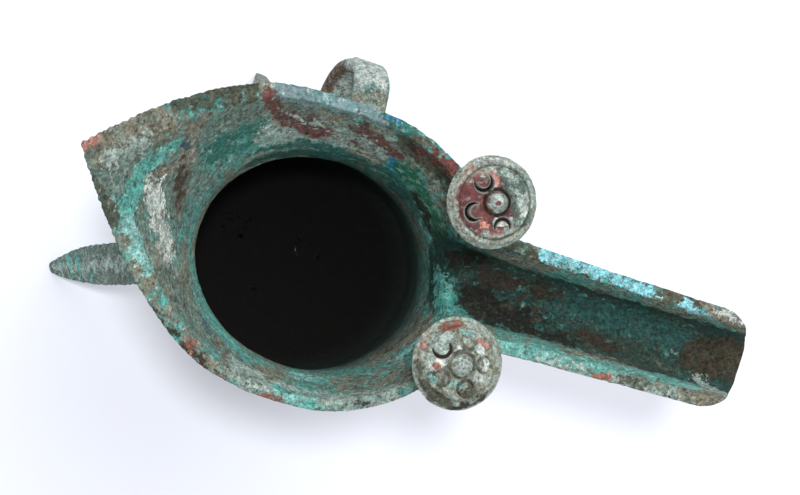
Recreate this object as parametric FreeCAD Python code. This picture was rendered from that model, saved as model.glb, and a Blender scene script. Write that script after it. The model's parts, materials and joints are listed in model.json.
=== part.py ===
import FreeCAD, Part
import math
import os

# A cast bronze wine vessel on three legs. Its oval cup opens into a mouth that is drawn
# out on one side into a pouring spout and on the other into a pointed tail, and two posts
# with whorled caps stand where the spout begins. +Z is up, +X points along the spout and
# +Y towards the handle. Everything is drawn round the cup's own axis, standing on the
# table, and is moved at the end so that the origin lies under the middle of the outline.
# All sizes are in millimetres.

# Heights above the table, each a rise above the last
bowl_bottom_height = 78.0
belly_rise = 25.0
neck_rise = 31.0
flank_rise = 24.0
tail_tip_rise = 25.0
spout_tip_rise = 22.0
belly_height = bowl_bottom_height + belly_rise
neck_height = belly_height + neck_rise
flank_height = neck_height + flank_rise
tail_tip_height = flank_height + tail_tip_rise
spout_tip_height = flank_height + spout_tip_rise

# The cup, which is a little longer along the spout than it is wide
belly_half_width = 33.5
neck_half_width = 30.5
neck_half_length = 35.3
cup_wall = 2.4
cup_floor = 3.2
bowl_flat_radius = 9.0

# The mouth, whose middle was cast a little off the cup's axis
flank_half_width = 41.1
flank_half_length = 9.0
mouth_shift_x = -2.0
mouth_shift_y = 2.9
mouth_front_reach = 44.0
mouth_tail_reach = 72.5
tail_side_drift = 6.2
lip_thickness = 3.2
tail_lip_thickness = 5.2

# The spout, an open channel with a round floor between splayed walls
spout_root_reach = 24.0
spout_flare_reach = 64.0
spout_tip_reach = 108.8
spout_floor_radius = 11.7
spout_wall_height = 25.0
spout_splay = 7.5
spout_root_flare = 5.5
spout_root_shift_y = 6.1
spout_tip_shift_y = 7.4
spout_root_floor_rise = 1.0
spout_tip_floor_rise = 27.5
spout_root_floor_height = neck_height + spout_root_floor_rise
spout_tip_floor_height = spout_root_floor_height + spout_tip_floor_rise
spout_wall = 3.6
spout_floor = 3.0
spout_tip_corner = 10.5

# Where the spout and the tail part from the cup: just past the mouth's front and past the neck
spout_seam_gap = 3.0
tail_seam_gap = 5.7
spout_seam_reach = mouth_front_reach + spout_seam_gap
tail_seam_reach = neck_half_length + tail_seam_gap

# Three raised lines round the belly, each a sharp ridge
line_rise = 1.0
line_width = 2.6
line_foot_depth = 0.6
lowest_line_rise = 8.0
line_spacing = 5.0
line_count = 3

# The handle, a strap that arches from the neck down to the belly
handle_reach = 57.3
handle_root_reach = 26.0
handle_shift_x = 2.2
handle_width = 9.8
handle_thickness = 3.4
handle_top_rise = 5.0
handle_drop = 45.0
handle_top_height = neck_height + handle_top_rise
handle_low_height = handle_top_height - handle_drop
handle_edge_width = 1.0

# The legs, whose tips stand on a circle
foot_circle_radius = 52.3
foot_centre_x = -1.0
foot_centre_y = 4.0
first_foot_angle = 90.0
foot_count = 3
leg_root_rise = 18.0
leg_root_radius = 24.5
leg_width = 12.8
leg_depth = 9.6
foot_width = 2.8
foot_depth = 3.2

# The posts, which lean back towards the tail, and their caps
post_foot_depth = 3.0
post_length = 31.0
post_foot_height = flank_height - post_foot_depth
post_top_height = post_foot_height + post_length
post_foot_radius = 4.6
post_end_radius = 2.8
post_waist_radius = 3.3
post_top_radius = 3.5
handle_post_inset = 13.6
far_post_inset = 9.8
handle_post_reach = mouth_front_reach - handle_post_inset
far_post_reach = mouth_front_reach - far_post_inset
handle_post_foot = (handle_post_reach, 29.6)
far_post_foot = (far_post_reach, -18.4)
post_lean_x = -3.0
handle_cap_place = (handle_post_reach + post_lean_x, 26.6)
far_cap_place = (far_post_reach + post_lean_x, -14.4)
cap_radius = 11.2
cap_under_radius = 8.0
cap_ring_radius = 8.9
cap_height = 8.4
boss_radius = 2.1
boss_top_radius = 1.0
boss_side_height = 1.4
groove_width = 1.1
groove_depth = 1.0

# The whorl on each cap: curls that lie round the boss
curl_count = 5
curl_circle_radius = 5.9
curl_radius = 1.9
curl_width = 1.0
curl_sweep_angle = 260.0
handle_cap_turn = 148.0
far_cap_turn = 161.0

# Square spacers that held the core off the mould and stayed in the bowl's floor
spacer_size = 6.5
spacer_circle_radius = 13.0

# One length by which a cutting or joining body runs past what it meets
overrun = 12.0

# Shapes of curves, as shares of the sizes above
mouth_shares = ((0.0, 0.0, 0.0), (0.14, 0.14, 0.073), (0.29, 0.45, 0.196), (0.43, 0.81, 0.333),
                (0.57, 1.03, 0.485), (0.78, 1.17, 0.74), (0.93, 1.17, 0.925), (1.08, 1.12, 1.09))
tail_power_shares = (2.0, 3.25)
tail_bluntness_shares = (0.5, 0.92)
tail_rim_power_share = 1.5
spout_rim_power_share = 1.15
spout_tip_rise_share = 0.24
spout_flare_shares = ((0.0, 1.0), (0.24, 0.58), (0.48, 0.27), (0.72, 0.08), (1.0, 0.0))
waist_shares = (0.33, 0.67)
handle_bend_share = 0.38
leg_shares = (0.0, 0.06, 0.13, 0.22, 0.34, 0.6, 1.0)
leg_lean_power_share = 1.1
leg_width_shoulder_share = 0.4
leg_depth_shoulder_share = 0.7
leg_edge_share = 0.9
post_swell_share = 0.14
post_shoulder_share = 0.32
edge_rise_share = 0.28
ring_rise_share = 0.60
dome_rise_share = 0.84

section_point_count = 13
rim_point_count = 15
bowl_section_count = 6

leg_names = ("leg_handle_side", "leg_tail_side", "leg_spout_side")

V = FreeCAD.Vector
up = V(0, 0, 1)


def steps(count):
    """Even shares from 0 to 1."""
    return [index / (count - 1) for index in range(count)]


def blend(start, end, share):
    return start + (end - start) * share


def side_curve(height, front, tail, half_width, shift_x, shift_y, drift_y, point_share, side):
    """One side of a level section, from the front round to the tail. With point_share 0
    the tail end is half an ellipse, and towards 1 it closes to a sharp point."""
    power = blend(tail_power_shares[0], tail_power_shares[1], point_share)
    bluntness = blend(tail_bluntness_shares[0], tail_bluntness_shares[1], point_share)
    points = []
    for share in steps(section_point_count):
        if share < 0.5:
            x = front * math.cos(math.pi * share)
            y = half_width * math.sin(math.pi * share)
            drift = 0.0
        else:
            reach_share = 1 - (2 - 2 * share) ** (1 / bluntness)
            x = -tail * reach_share
            y = half_width * (1 - reach_share ** power) ** bluntness
            drift = drift_y * reach_share ** 2
        points.append(V(shift_x + x, shift_y + drift + side * y, height))
    curve = Part.BSplineCurve()
    curve.interpolate(Points=points, Parameters=steps(section_point_count))
    return curve.toShape()


def level_section(**sizes):
    near = side_curve(side=1, **sizes)
    far = side_curve(side=-1, **sizes)
    return Part.Wire([near, far.reversed()])


def oval_section(height, half_width, length_ratio):
    return level_section(height=height, front=half_width * length_ratio, tail=half_width * length_ratio,
                         half_width=half_width, shift_x=0.0, shift_y=0.0, drift_y=0.0, point_share=0.0)


def waist_half_width(height):
    """Half width of the cup's outside between the belly and the neck."""
    share = (height - belly_height) / (neck_height - belly_height)
    return blend(belly_half_width, neck_half_width, 0.5 - 0.5 * math.cos(math.pi * share))


def cup_sections(inset):
    """Level ovals from the bowl's bottom to just below the neck."""
    wall = cup_wall * inset
    bottom = bowl_bottom_height + cup_floor * inset
    belly = belly_half_width - wall
    ratio = (neck_half_length - wall) / (neck_half_width - wall)
    first_angle = math.asin(bowl_flat_radius / belly)
    sections = []
    for share in steps(bowl_section_count):
        angle = blend(first_angle, math.pi / 2, share)
        height = blend(belly_height, bottom, math.cos(angle) / math.cos(first_angle))
        sections.append(oval_section(height, belly * math.sin(angle), ratio))
    for share in waist_shares:
        height = blend(belly_height, neck_height, share)
        sections.append(oval_section(height, waist_half_width(height) - wall, ratio))
    return sections


def mouth_sections(inset):
    """Level sections of the mouth, which flares at the flanks and runs out into the tail."""
    sections = []
    tail_start = neck_half_length + mouth_shift_x
    for rise_share, flare_share, tail_share in mouth_shares:
        shift_share = min(flare_share, 1.0)
        lip = inset * blend(cup_wall, lip_thickness, shift_share)
        tail_lip = inset * blend(cup_wall, tail_lip_thickness, shift_share)
        tail = blend(tail_start, mouth_tail_reach, tail_share) - mouth_shift_x * (1 - shift_share)
        sections.append(level_section(
            height=blend(neck_height, tail_tip_height, rise_share),
            front=blend(neck_half_length, mouth_front_reach, shift_share) - lip,
            tail=tail - tail_lip,
            half_width=blend(neck_half_width, flank_half_width, flare_share) - lip,
            shift_x=mouth_shift_x * shift_share,
            shift_y=mouth_shift_y * shift_share,
            drift_y=tail_side_drift * rise_share,
            point_share=rise_share))
    return sections


def body(inset):
    """The cup and its mouth as a solid: the outside with inset 0, the hollow with inset 1."""
    return Part.makeLoft(cup_sections(inset) + mouth_sections(inset), True, True)


def rim_height(x):
    """Height of the rim along the vessel: low on the flanks, high at both ends."""
    if x < -flank_half_length:
        share = (-x - flank_half_length) / (mouth_tail_reach - mouth_shift_x - flank_half_length)
        return blend(flank_height, tail_tip_height, share ** tail_rim_power_share)
    if x > flank_half_length:
        share = (x - flank_half_length) / (spout_tip_reach - flank_half_length)
        return blend(flank_height, spout_tip_height, share ** spout_rim_power_share)
    return flank_height


def below_rim():
    """Everything below the saddle of the rim."""
    start = mouth_shift_x - mouth_tail_reach - overrun
    end = spout_tip_reach + overrun
    half_span = flank_half_width + 2 * overrun
    points = []
    for share in steps(rim_point_count):
        x = blend(start, end, share)
        points.append(V(x, -half_span, rim_height(x)))
    rim = Part.BSplineCurve()
    rim.interpolate(points)
    low_start = V(start, -half_span, 0)
    low_end = V(end, -half_span, 0)
    edges = [rim.toShape(), Part.makeLine(points[-1], low_end), Part.makeLine(low_end, low_start),
             Part.makeLine(low_start, points[0])]
    return Part.Face(Part.Wire(edges)).extrude(V(0, 2 * half_span, 0))


def spout_centre(x):
    """The lowest point of the spout's outside at a place along it."""
    share = (x - spout_root_reach) / (spout_tip_reach - spout_root_reach)
    return V(x, blend(spout_root_shift_y, spout_tip_shift_y, share),
             blend(spout_root_floor_height, spout_tip_floor_height, share))


def spout_directions():
    """Along the spout, across it, and square to both."""
    along = (spout_centre(spout_tip_reach) - spout_centre(spout_root_reach)).normalize()
    across = up.cross(along).normalize()
    return along, across, along.cross(across)


def spout_section(x, flare, inset):
    """A channel section square to the spout: a half round floor between two walls that lean apart."""
    across, rise = spout_directions()[1:]
    radius = spout_floor_radius + flare - spout_wall * inset
    floor = spout_centre(x) + rise * (spout_floor * inset)
    left = floor + rise * radius - across * radius
    right = floor + rise * radius + across * radius
    left_top = left + rise * spout_wall_height - across * spout_splay
    right_top = right + rise * spout_wall_height + across * spout_splay
    return Part.Wire([Part.Arc(left, floor, right).toShape(), Part.makeLine(right, right_top),
                      Part.makeLine(right_top, left_top), Part.makeLine(left_top, left)])


def spout_body(inset):
    """The spout's outside with inset 0, or its open channel with inset 1: a flaring root
    and a straight run."""
    sections = []
    for share, flare_share in spout_flare_shares:
        x = blend(spout_root_reach, spout_flare_reach, share)
        sections.append(spout_section(x, spout_root_flare * flare_share, inset))
    run = spout_centre(spout_tip_reach + overrun) - spout_centre(spout_flare_reach)
    straight = Part.Face(sections[-1]).extrude(run)
    return Part.makeLoft(sections, True, True).fuse(straight)


def spout_end():
    """A block whose far end has the rounded corners of the spout's tip and stands square to
    the rising floor, so that its foot comes out further than its top."""
    lean = (spout_tip_floor_height - spout_root_floor_height) / (spout_tip_reach - spout_root_reach)
    top = tail_tip_height + overrun
    tip = spout_tip_reach + lean * spout_tip_height
    corner = spout_tip_corner
    bend = corner * (1 - math.sqrt(0.5))
    half_width = spout_floor_radius + spout_splay * spout_tip_rise_share
    near = spout_tip_shift_y + half_width
    far = spout_tip_shift_y - half_width
    wide = spout_root_flare + overrun
    corner_start = tip - corner
    near_arc = Part.Arc(V(corner_start, near, 0), V(tip - bend, near - bend, 0), V(tip, near - corner, 0))
    far_arc = Part.Arc(V(tip, far + corner, 0), V(tip - bend, far + bend, 0), V(corner_start, far, 0))
    corners = [V(corner_start, far, 0), V(corner_start, far - wide, 0), V(0, far - wide, 0),
               V(0, near + wide, 0), V(corner_start, near + wide, 0), V(corner_start, near, 0)]
    edges = [near_arc.toShape(), Part.makeLine(V(tip, near - corner, 0), V(tip, far + corner, 0)),
             far_arc.toShape()]
    edges += [Part.makeLine(start, end) for start, end in zip(corners, corners[1:])]
    return Part.Face(Part.Wire(edges)).extrude(V(-lean * top, 0, top))


def raised_line(height):
    """A raised line round the cup: a ridge on a level oval whose foot lies inside the wall."""
    ratio = neck_half_length / neck_half_width
    foot = waist_half_width(height) - line_foot_depth
    slope_height = line_width / 2 * (line_foot_depth + line_rise) / line_rise
    sections = [oval_section(height - slope_height, foot, ratio),
                oval_section(height, waist_half_width(height) + line_rise, ratio),
                oval_section(height + slope_height, foot, ratio)]
    return Part.makeLoft(sections, True, True)


def block(low_x, high_x):
    """A block across the whole vessel between two places along it."""
    half_span = flank_half_width + 2 * overrun
    return Part.makeBox(high_x - low_x, 2 * half_span, tail_tip_height + 2 * overrun, V(low_x, -half_span, 0))


def handle_arch(inset):
    """The handle's outline in the upright plane: out from the cup, down and back in, with round bends."""
    x = handle_shift_x - handle_width / 2
    top = handle_top_height - inset
    low = handle_low_height + inset
    reach = handle_reach - inset
    bend = handle_drop * handle_bend_share - inset
    corner = bend * (1 - math.sqrt(0.5))
    points = [V(x, handle_root_reach, top), V(x, reach - bend, top), V(x, reach, top - bend),
              V(x, reach, low + bend), V(x, reach - bend, low), V(x, handle_root_reach, low)]
    high_bend = Part.Arc(points[1], V(x, reach - corner, top - corner), points[2])
    low_bend = Part.Arc(points[3], V(x, reach - corner, low + corner), points[4])
    return [Part.makeLine(points[0], points[1]), high_bend.toShape(), Part.makeLine(points[2], points[3]),
            low_bend.toShape(), Part.makeLine(points[4], points[5])]


def is_long_edge(box):
    """True for an edge that runs round the strap on one of its two flat sides."""
    flat = box.XMax - box.XMin < handle_edge_width
    return flat and box.YMax > handle_root_reach + handle_edge_width


def handle(outside, legs):
    """A strap between two nested arches, with its long edges bevelled, cut to the cup and
    to the leg whose root reaches up to its foot."""
    outer = handle_arch(0)
    inner = handle_arch(handle_thickness)
    ends = [Part.makeLine(outer[0].Vertexes[0].Point, inner[0].Vertexes[0].Point),
            Part.makeLine(outer[-1].Vertexes[1].Point, inner[-1].Vertexes[1].Point)]
    outline = Part.Wire(Part.__sortEdges__(outer + inner + ends))
    strap = Part.Face(outline).extrude(V(handle_width, 0, 0))
    long_edges = [edge for edge in strap.Edges if is_long_edge(edge.BoundBox)]
    return strap.makeChamfer(handle_edge_width, long_edges).cut([outside] + legs)


def fill_out(share, reach_share):
    """A share that rises to 1 with a rounded shoulder at reach_share."""
    left = 1 - min(share / reach_share, 1.0)
    return 1 - left * left


def leg(angle, outside):
    """A three-sided blade that tapers to a small foot, cut to the bowl."""
    outward = V(math.cos(angle), math.sin(angle), 0)
    across = V(-math.sin(angle), math.cos(angle), 0)
    centre = V(foot_centre_x, foot_centre_y, 0)
    sections = []
    for share in leg_shares:
        radius = blend(leg_root_radius, foot_circle_radius, (1 - share) ** leg_lean_power_share)
        width = blend(foot_width, leg_width, fill_out(share, leg_width_shoulder_share))
        depth = blend(foot_depth, leg_depth, fill_out(share, leg_depth_shoulder_share))
        level = centre + up * ((bowl_bottom_height + leg_root_rise) * share)
        edge_width = foot_width * leg_edge_share
        corners = [level + outward * radius + across * (width / 2),
                   level + outward * radius - across * (width / 2),
                   level + outward * (radius - depth) - across * (edge_width / 2),
                   level + outward * (radius - depth) + across * (edge_width / 2)]
        sections.append(Part.makePolygon(corners + corners[:1]))
    return Part.makeLoft(sections, True, False).cut(outside)


def post(foot, head, mouth):
    """A post that straddles the lip with a swelling foot and leans back to its cap."""
    start = V(foot[0], foot[1], post_foot_height)
    lean = V(head[0], head[1], post_top_height) - start
    length = lean.Length
    corners = [V(0, 0, 0), V(post_end_radius, 0, 0), V(post_foot_radius, 0, length * post_swell_share),
               V(post_waist_radius, 0, length * post_shoulder_share), V(post_top_radius, 0, length + overrun),
               V(0, 0, length + overrun)]
    outline = Part.makePolygon(corners + corners[:1])
    shaft = Part.Face(outline).revolve(V(0, 0, 0), up, 360)
    shaft.rotate(V(0, 0, 0), up.cross(lean), math.degrees(up.getAngle(lean)))
    shaft.translate(start)
    room = cap_radius + overrun
    under_cap = Part.makeBox(2 * room, 2 * room, post_top_height, V(head[0] - room, head[1] - room, 0))
    return shaft.common(under_cap).cut(mouth)


def dome_sphere():
    """Radius of the cap's dome and height of its centre."""
    ring = post_top_height + cap_height * ring_rise_share
    rise = cap_height * (dome_rise_share - ring_rise_share)
    radius = (cap_ring_radius ** 2 + rise ** 2) / (2 * rise)
    return radius, ring + rise - radius


def cap_profile():
    """Half of the cap's section: a boss, a groove, the dome, a ring groove and the sloping edge."""
    dome_radius, dome_centre = dome_sphere()

    def on_dome(reach):
        return V(reach, 0, dome_centre + math.sqrt(dome_radius ** 2 - reach ** 2))

    base = post_top_height
    top = base + cap_height
    boss_foot = on_dome(boss_radius) - up * groove_depth
    dome_start = boss_radius + groove_width
    dome_end = cap_ring_radius - groove_width
    ring_foot = on_dome(cap_ring_radius) - up * groove_depth
    band_reach = cap_ring_radius + groove_width / 2
    band = V(band_reach, 0, on_dome(band_reach).z)
    low = [V(cap_radius, 0, base + cap_height * edge_rise_share), V(cap_under_radius, 0, base), V(0, 0, base)]
    boss_side = V(boss_radius, 0, top - boss_side_height)
    boss_top = V(boss_top_radius, 0, top)
    dome_arc = Part.Arc(on_dome(dome_start), on_dome((dome_start + dome_end) / 2), on_dome(dome_end))
    low_corners = [on_dome(dome_end), ring_foot, band] + low + [V(0, 0, top)]
    high_corners = [V(0, 0, top), boss_top, boss_side, boss_foot, on_dome(dome_start)]
    lines = list(zip(low_corners, low_corners[1:])) + list(zip(high_corners, high_corners[1:]))
    return [dome_arc.toShape()] + [Part.makeLine(start, end) for start, end in lines]


def curl():
    """A cutter for one curled groove: a flat ring with an opening, lying at the dome's top."""
    inner = curl_radius - curl_width / 2
    outer = curl_radius + curl_width / 2
    disc = Part.makeCylinder(outer, 2 * groove_depth, V(0, 0, -groove_depth), up, curl_sweep_angle)
    ring = disc.cut(Part.makeCylinder(inner, 2 * groove_depth, V(0, 0, -groove_depth)))
    ring.rotate(V(0, 0, 0), up, (360 - curl_sweep_angle) / 2)
    return ring


def cap():
    """A domed cap with curled grooves round its boss, on the upright axis."""
    solid = Part.Face(Part.Wire(Part.__sortEdges__(cap_profile()))).revolve(V(0, 0, 0), up, 360)
    dome_radius, dome_centre = dome_sphere()
    tilt = math.degrees(math.asin(curl_circle_radius / dome_radius))
    cutters = []
    for index in range(curl_count):
        cutter = curl()
        cutter.translate(V(0, 0, dome_radius))
        cutter.rotate(V(0, 0, 0), V(0, 1, 0), tilt)
        cutter.translate(V(0, 0, dome_centre))
        cutter.rotate(V(0, 0, 0), up, index * 360 / curl_count)
        cutters.append(cutter)
    return solid.cut(cutters)


def set_cap(blank, place, turn):
    turned = blank.copy()
    turned.rotate(V(0, 0, 0), up, turn)
    return turned.translated(V(place[0], place[1], 0))


def spacers():
    """Three square plugs in the bowl's floor, flush inside and outside."""
    squares = []
    for index in range(foot_count):
        angle = math.radians(first_foot_angle + 180 + index * 360 / foot_count)
        square = Part.makeBox(spacer_size, spacer_size, belly_height - bowl_bottom_height,
                              V(-spacer_size / 2, -spacer_size / 2, bowl_bottom_height - spacer_size))
        square.translate(V(math.cos(angle), math.sin(angle), 0) * spacer_circle_radius)
        squares.append(square)
    return squares


def build():
    outside = body(0)
    hollow = body(1)
    lowest_line = belly_height + lowest_line_rise
    lines = [raised_line(lowest_line + index * line_spacing) for index in range(line_count)]
    shell = outside.fuse([spout_body(0)] + lines).cut([hollow, spout_body(1)])
    shell = shell.common(below_rim())
    spout_block = block(spout_seam_reach, spout_tip_reach + overrun)
    tail_block = block(mouth_shift_x - mouth_tail_reach, -tail_seam_reach)
    tail_scrap = block(mouth_shift_x - mouth_tail_reach - 2 * overrun, -tail_seam_reach)
    parts = {}
    parts["spout"] = shell.common(spout_block).common(spout_end())
    parts["tail"] = shell.common(tail_block)
    cup = shell.cut([spout_block, tail_scrap])
    plugs = spacers()
    parts["floor_spacers"] = cup.common(plugs)
    parts["cup"] = cup.cut(plugs)
    for index, name in enumerate(leg_names):
        parts[name] = leg(math.radians(first_foot_angle + index * 360 / foot_count), outside)
    parts["handle"] = handle(outside, [parts[name] for name in leg_names])
    parts["post_handle_side"] = post(handle_post_foot, handle_cap_place, shell)
    parts["post_far_side"] = post(far_post_foot, far_cap_place, shell)
    blank = cap()
    parts["cap_handle_side"] = set_cap(blank, handle_cap_place, handle_cap_turn)
    parts["cap_far_side"] = set_cap(blank, far_cap_place, far_cap_turn)
    return parts


def main():
    parts = build()
    box = Part.makeCompound(list(parts.values())).optimalBoundingBox(True, False)
    move = V(-(box.XMin + box.XMax) / 2, -(box.YMin + box.YMax) / 2, 0)
    print("moved by", move, "size", box.XLength, box.YLength, box.ZLength)
    os.makedirs("parts", exist_ok=True)
    for name, shape in parts.items():
        placed = shape.translated(move)
        placed.exportStep("parts/" + name + ".step")
        print(name, placed.isValid(), len(placed.Solids), round(placed.Volume))


main()
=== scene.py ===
# %% [markdown]
# # A bronze ritual wine cup
# The real cup was cast in one pour inside a mould made of sections, then lay in the ground
# for three thousand years. This lesson takes the plain solids of its members as a fixed
# frame, welds them back into one casting, corrodes that casting, and cuts it into its
# members again, so that every piece carries the same skin across its seams.

import json
import math

import bmesh
import bpy
import numpy as np
from mathutils import Matrix, Vector


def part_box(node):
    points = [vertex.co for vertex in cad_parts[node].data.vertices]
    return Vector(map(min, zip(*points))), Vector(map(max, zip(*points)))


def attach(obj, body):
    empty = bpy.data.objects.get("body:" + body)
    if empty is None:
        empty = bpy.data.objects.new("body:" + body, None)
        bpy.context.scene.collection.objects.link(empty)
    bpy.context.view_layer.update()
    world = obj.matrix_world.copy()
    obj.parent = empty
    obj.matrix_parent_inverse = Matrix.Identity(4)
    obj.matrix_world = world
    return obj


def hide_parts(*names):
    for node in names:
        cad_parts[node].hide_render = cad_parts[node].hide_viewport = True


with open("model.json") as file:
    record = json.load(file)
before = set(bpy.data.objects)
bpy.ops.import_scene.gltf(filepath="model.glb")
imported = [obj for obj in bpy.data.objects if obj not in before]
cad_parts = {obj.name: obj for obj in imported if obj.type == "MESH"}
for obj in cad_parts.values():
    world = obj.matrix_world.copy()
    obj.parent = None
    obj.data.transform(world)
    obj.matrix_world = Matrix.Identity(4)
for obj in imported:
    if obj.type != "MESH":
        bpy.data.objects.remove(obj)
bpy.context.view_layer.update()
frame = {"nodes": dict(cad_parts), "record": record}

MM = 0.001
CASTING = ["cup", "spout", "tail", "handle", "leg_handle_side", "leg_tail_side",
           "leg_spout_side", "post_handle_side", "post_far_side"]

# %% [markdown]
# ## Camera
# The cup stands on its three feet and the camera looks down into its mouth from high above
# the tail. The camera's place is measured from the middle of the feet, in millimetres, and
# its three axes are written as the photograph shows them.

# %% Camera
FEET = sum((Vector(mount["pos_m"]) for mount in frame["record"]["mounts"]), Vector()) / 3
CAMERA_FROM_FEET = Vector((-160.7, -25.0, 811.2)) * MM
CAMERA_RIGHT = Vector((0.917, 0.298, 0.264))
CAMERA_FORWARD = Vector((0.263, 0.046, -0.964))
SENSOR_WIDTH = 36.0
LENS = 117.6


def set_camera():
    """A long lens well above the tail, turned so that the spout points to the right."""
    forward = CAMERA_FORWARD.normalized()
    right = (CAMERA_RIGHT - forward * CAMERA_RIGHT.dot(forward)).normalized()
    up = right.cross(forward)
    data = bpy.data.cameras.new("camera")
    data.sensor_width = SENSOR_WIDTH
    data.lens = LENS
    data.clip_start, data.clip_end = 0.01, 20
    camera = bpy.data.objects.new("camera", data)
    turn = Matrix((right, up, -forward)).transposed().to_4x4()
    camera.matrix_world = Matrix.Translation(FEET + CAMERA_FROM_FEET) @ turn
    bpy.context.scene.collection.objects.link(camera)
    bpy.context.scene.camera = camera
    return camera


camera = set_camera()
print("camera at, mm:", [round(1000 * value, 1) for value in camera.location])

# %% [markdown]
# ## Weld the members into one casting
# The members arrive as separate closed solids that touch at flat seams. A voxel remesh of
# all of them together gives one watertight skin of even small faces, which is what
# corrosion needs. A thin lip can fall between two voxels and come out toothed, so the
# solids are swollen a little before the remesh, and the skin is laid back on them after it.
# Booleans would keep the long thin faces of the solids, and those don't take fine relief.

# %% One casting
SKIN_STEP = 0.78 * MM
SKIN_SMOOTHING = 2
MERGE_GAP = 0.002 * MM


def link_mesh(name, mesh):
    made = bpy.data.objects.new(name, mesh)
    bpy.context.scene.collection.objects.link(made)
    return made


def take_result(piece):
    """Turns what a piece's modifiers make into a plain mesh of its own."""
    graph = bpy.context.evaluated_depsgraph_get()
    mesh = bpy.data.meshes.new_from_object(piece.evaluated_get(graph))
    name = piece.name
    bpy.data.objects.remove(piece)
    return link_mesh(name, mesh)


def weld(name, members):
    joined = bmesh.new()
    for member in members:
        joined.from_mesh(frame["nodes"][member].data)
    bmesh.ops.remove_doubles(joined, verts=joined.verts, dist=MERGE_GAP)
    mesh = bpy.data.meshes.new(name)
    joined.to_mesh(mesh)
    joined.free()
    return link_mesh(name, mesh)


def reskin(piece, step, smoothing):
    """One even skin of small faces: swollen first, so that no thin edge falls between two
    voxels, and then laid back on the solids."""
    pattern = link_mesh("pattern", piece.data.copy())
    swell = piece.modifiers.new("swell", "DISPLACE")
    swell.mid_level = 0.0
    swell.strength = 0.5 * step
    remesh = piece.modifiers.new("skin", "REMESH")
    remesh.mode = "VOXEL"
    remesh.voxel_size = step
    wrap = piece.modifiers.new("wrap", "SHRINKWRAP")
    wrap.target = pattern
    ease = piece.modifiers.new("ease", "SMOOTH")
    ease.factor = 0.5
    ease.iterations = smoothing
    skinned = take_result(piece)
    bpy.data.objects.remove(pattern)
    return skinned


# %% [markdown]
# ## Move the throat
# The photograph shows the opening of the bowl a little nearer the spout than the solids
# have it. The move is full between the two middle levels and fades out above and below
# them, short of the handle on one side and of the spout in front.

# %% Throat
THROAT_SHIFT = 2.1 * MM
THROAT_LEVELS = (112 * MM, 132 * MM, 144 * MM, 160 * MM)
THROAT_SIDE = (22 * MM, 34 * MM)
THROAT_FRONT = (20 * MM, 45 * MM)


def read_vectors(mesh, what):
    """The places or the normals of a mesh's points, one to a row."""
    values = np.empty(len(mesh.vertices) * 3)
    mesh.vertices.foreach_get(what, values)
    return values.reshape(-1, 3)


def nudge_throat(piece):
    place = read_vectors(piece.data, "co")
    level = np.interp(place[:, 2], THROAT_LEVELS, (0, 1, 1, 0))
    beside = np.interp(place[:, 1], THROAT_SIDE, (1, 0))
    along = np.interp(place[:, 0], THROAT_FRONT, (1, 0))
    place[:, 0] += THROAT_SHIFT * level * beside * along
    piece.data.vertices.foreach_set("co", place.ravel())
    piece.data.update()


casting = reskin(weld("casting", CASTING), SKIN_STEP, SKIN_SMOOTHING)
nudge_throat(casting)
print("casting faces:", len(casting.data.polygons))

# %% [markdown]
# ## Corrosion relief
# Burial leaves a crust of minerals that swells in patches, and pits where it fell away.
# Both follow the surface everywhere, so one node tree moves every point along its normal.
# The caps use the same tree with smaller sizes.

# %% Corrosion tree
def new_tree(name, inputs):
    """A geometry tree with a geometry input, the named size inputs and a material input."""
    tree = bpy.data.node_groups.new(name, "GeometryNodeTree")
    face = tree.interface
    face.new_socket("Geometry", in_out="INPUT", socket_type="NodeSocketGeometry")
    for label in inputs:
        face.new_socket(label, in_out="INPUT", socket_type="NodeSocketFloat")
    face.new_socket("Finish", in_out="INPUT", socket_type="NodeSocketMaterial")
    face.new_socket("Geometry", in_out="OUTPUT", socket_type="NodeSocketGeometry")
    return tree


def add_node(tree, kind, **settings):
    made = tree.nodes.new(kind)
    for key, value in settings.items():
        setattr(made, key, value)
    return made


def feed(tree, socket, source):
    """Joins a socket to another node's output, or sets it to a plain value."""
    if isinstance(source, bpy.types.NodeSocket):
        tree.links.new(source, socket)
    else:
        socket.default_value = source


def wired(tree, kind, sources, **settings):
    """A node with its inputs joined or set, each under its label or its index."""
    made = add_node(tree, kind, **settings)
    for label, source in sources.items():
        feed(tree, made.inputs[label], source)
    return made


def maths(tree, operation, *sources):
    sources = dict(enumerate(sources))
    return wired(tree, "ShaderNodeMath", sources, operation=operation).outputs[0]


def vector_maths(tree, operation, *sources):
    sources = dict(enumerate(sources))
    made = wired(tree, "ShaderNodeVectorMath", sources, operation=operation)
    gives_number = operation in ("DOT_PRODUCT", "LENGTH", "DISTANCE")
    return made.outputs["Value"] if gives_number else made.outputs[0]


def scale_vector(tree, vector, factor):
    sources = {0: vector, "Scale": factor}
    return wired(tree, "ShaderNodeVectorMath", sources, operation="SCALE").outputs[0]


def noise(tree, vector, scale, detail, seed, roughness):
    """A seeded cloud of values; the seed is its fourth coordinate."""
    sources = {"Vector": vector, "W": seed, "Scale": scale, "Detail": detail,
               "Roughness": roughness}
    return wired(tree, "ShaderNodeTexNoise", sources, noise_dimensions="4D").outputs[0]


def finish_tree(tree, geometry, group_in):
    """Every tree ends the same way: smooth faces, its finish, and no instances left."""
    smooth = wired(tree, "GeometryNodeSetShadeSmooth", {"Geometry": geometry})
    real = wired(tree, "GeometryNodeRealizeInstances", {0: smooth.outputs[0]})
    finish = wired(tree, "GeometryNodeSetMaterial",
                   {"Geometry": real.outputs[0], "Material": group_in.outputs["Finish"]})
    wired(tree, "NodeGroupOutput", {0: finish.outputs[0]})


# A pit reaches this share of the way to the next one
PIT_REACH = 0.32
CRUST_ROUGHNESS = 0.6
CORROSION_INPUTS = ["Swell height", "Swell spacing", "Crust height", "Crust spacing",
                    "Pit depth", "Pit spacing", "Seed"]


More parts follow.
